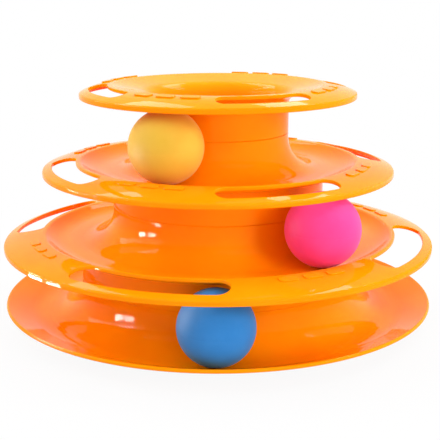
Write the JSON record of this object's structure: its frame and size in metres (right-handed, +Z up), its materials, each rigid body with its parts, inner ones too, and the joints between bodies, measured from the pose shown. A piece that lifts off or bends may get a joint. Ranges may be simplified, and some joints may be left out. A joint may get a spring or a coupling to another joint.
{
  "type": "cat ball track toy",
  "caption": "Tower of stacked round trays with domed slotted flanges, where loose balls run round the tracks between tiers for a cat to bat.",
  "frame": {"origin": "on the floor, at the tower's axis", "axes": "+Z up along the tower's axis, front of the toy towards -Y"},
  "size_m": [0.2476, 0.2476, 0.1354],
  "materials": {
    "orange_plastic": "glossy moulded orange, slightly translucent",
    "blue_plastic": "matte blue",
    "pink_plastic": "matte pink",
    "yellow_plastic": "matte yellow",
    "pad_rubber": "matte dark rubber"
  },
  "bodies": {
    "base": {"base_tray": "orange_plastic", "anti_slip_pads": "pad_rubber"},
    "lower": {"lower_tray": "orange_plastic"},
    "upper": {"upper_tray": "orange_plastic"},
    "top": {"top_tray": "orange_plastic"},
    "blue_ball": {"blue_ball_top_shell": "blue_plastic", "blue_ball_bottom_shell": "blue_plastic"},
    "pink_ball": {"pink_ball_top_shell": "pink_plastic", "pink_ball_bottom_shell": "pink_plastic"},
    "yellow_ball": {"yellow_ball_top_shell": "yellow_plastic", "yellow_ball_bottom_shell": "yellow_plastic"}
  },
  "joints": [
    {"name": "lower_tray_lift", "type": "slide", "parent": "base", "child": "lower", "axis": [0, 0, 1], "range_m": [0, 0.03]},
    {"name": "upper_tray_lift", "type": "slide", "parent": "lower", "child": "upper", "axis": [0, 0, 1], "range_m": [0, 0.03]},
    {"name": "top_tray_lift", "type": "slide", "parent": "upper", "child": "top", "axis": [0, 0, 1], "range_m": [0, 0.03]},
    {"name": "blue_ball_run", "type": "hinge", "parent": "base", "child": "blue_ball", "pos_m": [0, 0, 0], "axis": [0, 0, 1], "continuous": true},
    {"name": "pink_ball_run", "type": "hinge", "parent": "lower", "child": "pink_ball", "pos_m": [0, 0, 0], "axis": [0, 0, 1], "continuous": true},
    {"name": "yellow_ball_run", "type": "hinge", "parent": "upper", "child": "yellow_ball", "pos_m": [0, 0, 0], "axis": [0, 0, 1], "continuous": true}
  ]
}
